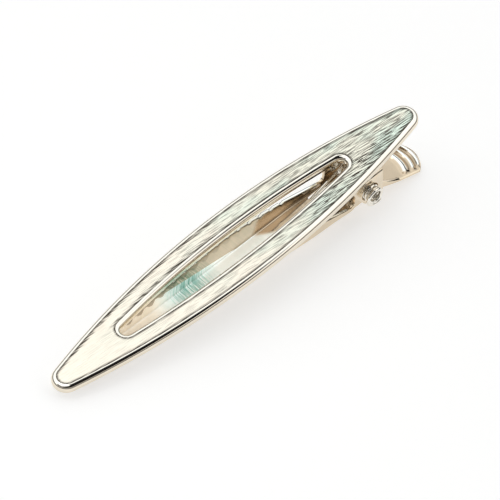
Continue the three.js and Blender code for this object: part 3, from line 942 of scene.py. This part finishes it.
def floor_material():
    material = bpy.data.materials.new("pale_paper")
    material.use_nodes = True
    tree = material.node_tree
    shader = tree.nodes["Principled BSDF"]
    fibre = noise(tree, (900, 900, 900), 3.0)
    tree.links.new(
        mix_colour(tree, fibre, (0.57, 0.57, 0.57, 1.0), (0.60, 0.60, 0.60, 1.0)),
        shader.inputs["Base Color"],
    )
    shader.inputs["Emission Color"].default_value = (1.0, 1.0, 1.0, 1.0)
    shader.inputs["Emission Strength"].default_value = 0.56
    shader.inputs["Roughness"].default_value = 0.9
    shader.inputs["Specular IOR Level"].default_value = 0.1
    return material


# ---- The studio ----


def make_floor():
    size = 2.5
    mesh = bpy.data.meshes.new("studio_floor")
    corners = [(-size, -size, 0), (size, -size, 0), (size, size, 0), (-size, size, 0)]
    mesh.from_pydata([(x, y, -0.00002) for x, y, _ in corners], [], [(0, 1, 2, 3)])
    obj = bpy.data.objects.new("studio_floor", mesh)
    bpy.context.scene.collection.objects.link(obj)
    mesh.materials.append(floor_material())
    return obj


def soft_light(name, place, aim, size, power, colour):
    data = bpy.data.lights.new(name, "AREA")
    data.shape = "RECTANGLE"
    data.size, data.size_y = size
    data.energy = power
    data.color = colour
    obj = bpy.data.objects.new(name, data)
    obj.location = place
    obj.rotation_euler = (Vector(aim) - Vector(place)).to_track_quat("-Z", "Y").to_euler()
    obj.visible_camera = False
    bpy.context.scene.collection.objects.link(obj)
    return obj


# The camera's direction from the clip, against the plate: turned about the plate's normal from
# straight on, and raised above the plate.
CAMERA_TURN = math.radians(-43.5)
CAMERA_RISE = math.radians(54.4)
CAMERA_LENS = 1500.0
CAMERA_SENSOR = 36.0
VIEW_WIDTH = 80.8
VIEW_OFFSET = (2.34, -1.05)
CAMERA_BACK = TURN @ Vector((
    math.sin(CAMERA_TURN) * math.cos(CAMERA_RISE),
    -math.cos(CAMERA_TURN) * math.cos(CAMERA_RISE),
    math.sin(CAMERA_RISE),
))

COOL_EDGE = Vector((-0.35, -0.94, 0.0)).normalized()


def make_world():
    """A soft white tent: bright overhead, dark at the horizon, with a dark flag round the camera."""
    world = bpy.data.worlds.new("studio")
    bpy.context.scene.world = world
    world.use_nodes = True
    tree = world.node_tree
    tree.nodes.clear()
    direction = node(tree, "ShaderNodeTexCoord").outputs["Generated"]
    parts = node(tree, "ShaderNodeSeparateXYZ", {"Vector": direction})
    up = parts.outputs["Z"]
    toward = node(
        tree, "ShaderNodeVectorMath", {0: direction, 1: tuple(COOL_EDGE)}, operation="DOT_PRODUCT",
    ).outputs["Value"]
    ramp = node(tree, "ShaderNodeValToRGB", {"Fac": up})
    stops = ((0.0, 0.02), (0.22, 0.03), (0.34, 0.55), (0.46, 0.95), (1.0, 1.0))
    ramp.color_ramp.elements[0].position = stops[0][0]
    ramp.color_ramp.elements[1].position = stops[-1][0]
    for place, _ in stops[1:-1]:
        ramp.color_ramp.elements.new(place)
    for element, (_, grey) in zip(ramp.color_ramp.elements, stops):
        element.color = (grey, grey, grey, 1.0)
    cool = remap(tree, toward, -0.8, 0.5, 1.0, 0.0)
    tint = mix_colour(tree, cool, (1.0, 0.985, 0.965, 1.0), (0.98, 1.0, 0.99, 1.0))
    flag = node(
        tree, "ShaderNodeVectorMath", {0: direction, 1: tuple(CAMERA_BACK)}, operation="DOT_PRODUCT",
    ).outputs["Value"]
    around = maths(
        tree, "MULTIPLY",
        remap(tree, flag, math.cos(math.radians(52)), math.cos(math.radians(47)), 0, 0.99),
        remap(tree, up, 0.36, 0.50, 0, 1),
    )
    around = maths(tree, "SUBTRACT", 1.0, around)
    seen = shade(tree, around, mix_colour(tree, 1.0, ramp.outputs["Color"], tint, "MULTIPLY"))
    tent = node(tree, "ShaderNodeBackground", {"Color": seen, "Strength": 1.22})
    plain = node(tree, "ShaderNodeBackground", {"Color": (1.0, 1.0, 1.0, 1.0), "Strength": 1.0})
    rays = node(tree, "ShaderNodeLightPath")
    both = node(tree, "ShaderNodeMixShader", {0: rays.outputs["Is Camera Ray"]})
    tree.links.new(tent.outputs["Background"], both.inputs[1])
    tree.links.new(plain.outputs["Background"], both.inputs[2])
    output = node(tree, "ShaderNodeOutputWorld")
    tree.links.new(both.outputs["Shader"], output.inputs["Surface"])


def make_camera():
    back = CAMERA_BACK
    right = (TURN @ Vector((0, 0, 1))).cross(back).normalized()
    up = back.cross(right)
    target = ORIGIN + (right * VIEW_OFFSET[0] + up * VIEW_OFFSET[1]) * MM
    data = bpy.data.cameras.new("camera")
    data.lens = CAMERA_LENS
    data.sensor_width = CAMERA_SENSOR
    data.clip_start = 0.1
    data.clip_end = 50.0
    camera = bpy.data.objects.new("camera", data)
    bpy.context.scene.collection.objects.link(camera)
    camera.matrix_world = Matrix.Translation(
        target + back * (VIEW_WIDTH * MM * CAMERA_LENS / CAMERA_SENSOR)
    ) @ Matrix((right, up, back)).transposed().to_4x4()
    bpy.context.scene.camera = camera
    return camera


# ---- The scene ----

make_camera()
make_world()
make_floor()
soft_light("overhead_softbox", (-0.25, 0.1, 0.6), (0, 0, 0), (0.5, 0.5), 0.9, (1.0, 1.0, 1.0))
bpy.context.scene.view_settings.view_transform = "Standard"

brushed = metal("brushed_nickel", brushed_finish_and_painted_lines)
bevels = metal("polished_edge", edge_finish_and_painted_reflection)
stamped = metal("polished_nickel", stamped_finish_and_painted_light)
sheet = metal("bracket_nickel", polished_finish(NICKEL, 0.14, 0.002))
wire = metal("spring_wire", polished_finish(BRIGHT, 0.10, 0.001))

plate = make_top_plate()
plate.data.materials.append(brushed)
plate.data.materials.append(bevels)
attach(plate, "plate_body")
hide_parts("top_plate")

bracket = make_hinge_bracket()
bracket.data.materials.clear()
bracket.data.materials.append(sheet)
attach(bracket, "plate_body")
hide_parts("hinge_bracket")

jaw = make_lower_jaw()
jaw.data.materials.clear()
jaw.data.materials.append(stamped)
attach(jaw, "jaw_body")
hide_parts("lower_jaw")

spring_near, spring_far = make_torsion_spring()
for half, start_y, end_y in (
    (spring_near, -COIL["end"], COIL["gap_near"]),
    (spring_far, COIL["end"], COIL["gap_far"]),
):
    half.data.materials.append(wire)
    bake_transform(half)
    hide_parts("torsion_spring")
